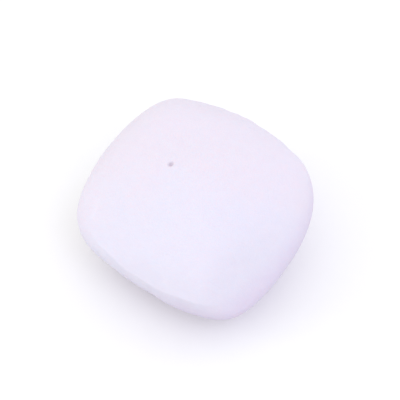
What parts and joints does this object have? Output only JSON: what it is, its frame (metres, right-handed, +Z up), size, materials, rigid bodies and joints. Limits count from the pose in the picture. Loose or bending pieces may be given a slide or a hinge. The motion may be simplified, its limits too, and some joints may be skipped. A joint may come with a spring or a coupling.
{
  "type": "after-dinner mint",
  "caption": "Small pulled-sugar cushion mint with two pinched ends, softly domed, lying on a small flattened underside.",
  "frame": {"origin": "centre of the underside of the mint's box, on the surface it lies on", "axes": "+Z up; X along the two pinched ends; Y along the sugar rope, from the front pinched end to the back one"},
  "size_m": [0.0186, 0.0184, 0.0115],
  "materials": {
    "pulled_sugar": "matte"
  },
  "bodies": {
    "root": {"mint": "pulled_sugar"}
  },
  "joints": []
}
